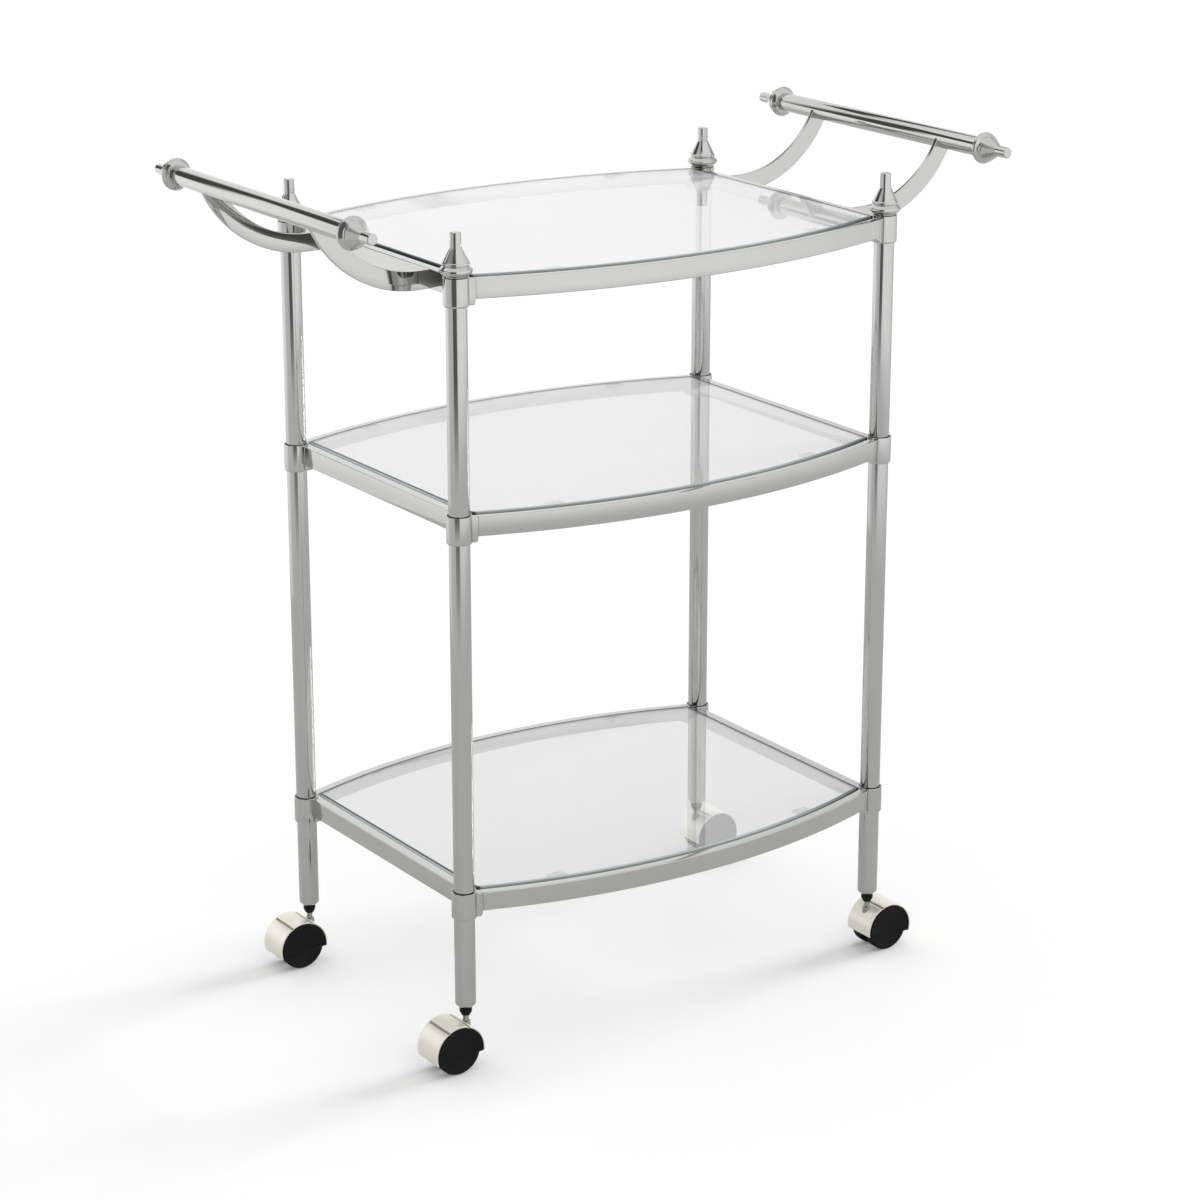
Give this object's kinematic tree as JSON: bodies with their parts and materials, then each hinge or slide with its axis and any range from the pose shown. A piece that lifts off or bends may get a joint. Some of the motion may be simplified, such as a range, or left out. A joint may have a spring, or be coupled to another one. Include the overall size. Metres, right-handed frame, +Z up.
{
  "type": "trolley cart",
  "caption": "Free-standing trolley cart with bowed glass shelves in bright metal frames on round posts, end handles with turned finials and hooded swivel casters",
  "frame": {"origin": "on the floor under the middle of the cart", "axes": "X along the cart between the handles, Y from front to back, Z up"},
  "size_m": [0.7984, 0.43, 0.9012],
  "materials": {
    "chrome": "polished",
    "nickel": "polished, warm",
    "steel": "plain steel",
    "glass": "clear, with green edges",
    "black_plastic": "moulded, satin",
    "wheel": "black tread"
  },
  "bodies": {
    "cart": {"shelf_frame_bottom": "chrome", "shelf_glass_bottom": "glass", "shelf_frame_middle": "chrome", "shelf_glass_middle": "glass", "shelf_frame_top": "chrome", "shelf_glass_top": "glass", "leg_front_left": "chrome", "leg_front_right": "chrome", "leg_back_left": "chrome", "leg_back_right": "chrome", "lower_post_front_left": "chrome", "lower_post_front_right": "chrome", "lower_post_back_left": "chrome", "lower_post_back_right": "chrome", "upper_post_front_left": "chrome", "upper_post_front_right": "chrome", "upper_post_back_left": "chrome", "upper_post_back_right": "chrome", "post_finial_front_left": "chrome", "post_finial_front_right": "chrome", "post_finial_back_left": "chrome", "post_finial_back_right": "chrome", "handle_bar_left": "chrome", "handle_finial_front_left": "chrome", "handle_arm_front_left": "chrome", "handle_finial_back_left": "chrome", "handle_arm_back_left": "chrome", "handle_bar_right": "chrome", "handle_finial_front_right": "chrome", "handle_arm_front_right": "chrome", "handle_finial_back_right": "chrome", "handle_arm_back_right": "chrome", "caster_socket_front_left": "black_plastic", "caster_socket_front_right": "black_plastic", "caster_socket_back_left": "black_plastic", "caster_socket_back_right": "black_plastic"},
    "caster_front_left": {"caster_stem_front_left": "steel", "caster_housing_front_left": "black_plastic", "caster_hood_front_left": "nickel", "caster_axle_front_left": "steel"},
    "wheel_inner_front_left": {"wheel_inner_front_left": "wheel"},
    "wheel_outer_front_left": {"wheel_outer_front_left": "wheel"},
    "caster_front_right": {"caster_stem_front_right": "steel", "caster_housing_front_right": "black_plastic", "caster_hood_front_right": "nickel", "caster_axle_front_right": "steel"},
    "wheel_inner_front_right": {"wheel_inner_front_right": "wheel"},
    "wheel_outer_front_right": {"wheel_outer_front_right": "wheel"},
    "caster_back_left": {"caster_stem_back_left": "steel", "caster_housing_back_left": "black_plastic", "caster_hood_back_left": "nickel", "caster_axle_back_left": "steel"},
    "wheel_inner_back_left": {"wheel_inner_back_left": "wheel"},
    "wheel_outer_back_left": {"wheel_outer_back_left": "wheel"},
    "caster_back_right": {"caster_stem_back_right": "steel", "caster_housing_back_right": "black_plastic", "caster_hood_back_right": "nickel", "caster_axle_back_right": "steel"},
    "wheel_inner_back_right": {"wheel_inner_back_right": "wheel"},
    "wheel_outer_back_right": {"wheel_outer_back_right": "wheel"}
  },
  "joints": [
    {"name": "swivel_front_left", "type": "hinge", "parent": "cart", "child": "caster_front_left", "pos_m": [-0.262, -0.1605, 0.06], "axis": [0, 0, 1], "continuous": true},
    {"name": "roll_inner_front_left", "type": "hinge", "parent": "caster_front_left", "child": "wheel_inner_front_left", "pos_m": [-0.28, -0.172, 0.025], "axis": [0, 1, 0], "continuous": true},
    {"name": "roll_outer_front_left", "type": "hinge", "parent": "caster_front_left", "child": "wheel_outer_front_left", "pos_m": [-0.28, -0.149, 0.025], "axis": [0, 1, 0], "continuous": true},
    {"name": "swivel_front_right", "type": "hinge", "parent": "cart", "child": "caster_front_right", "pos_m": [0.262, -0.1605, 0.06], "axis": [0, 0, 1], "continuous": true},
    {"name": "roll_inner_front_right", "type": "hinge", "parent": "caster_front_right", "child": "wheel_inner_front_right", "pos_m": [0.28, -0.149, 0.025], "axis": [0, 1, 0], "continuous": true},
    {"name": "roll_outer_front_right", "type": "hinge", "parent": "caster_front_right", "child": "wheel_outer_front_right", "pos_m": [0.28, -0.172, 0.025], "axis": [0, 1, 0], "continuous": true},
    {"name": "swivel_back_left", "type": "hinge", "parent": "cart", "child": "caster_back_left", "pos_m": [-0.262, 0.1605, 0.06], "axis": [0, 0, 1], "continuous": true},
    {"name": "roll_inner_back_left", "type": "hinge", "parent": "caster_back_left", "child": "wheel_inner_back_left", "pos_m": [-0.28, 0.149, 0.025], "axis": [0, 1, 0], "continuous": true},
    {"name": "roll_outer_back_left", "type": "hinge", "parent": "caster_back_left", "child": "wheel_outer_back_left", "pos_m": [-0.28, 0.172, 0.025], "axis": [0, 1, 0], "continuous": true},
    {"name": "swivel_back_right", "type": "hinge", "parent": "cart", "child": "caster_back_right", "pos_m": [0.262, 0.1605, 0.06], "axis": [0, 0, 1], "continuous": true},
    {"name": "roll_inner_back_right", "type": "hinge", "parent": "caster_back_right", "child": "wheel_inner_back_right", "pos_m": [0.28, 0.172, 0.025], "axis": [0, 1, 0], "continuous": true},
    {"name": "roll_outer_back_right", "type": "hinge", "parent": "caster_back_right", "child": "wheel_outer_back_right", "pos_m": [0.28, 0.149, 0.025], "axis": [0, 1, 0], "continuous": true}
  ]
}
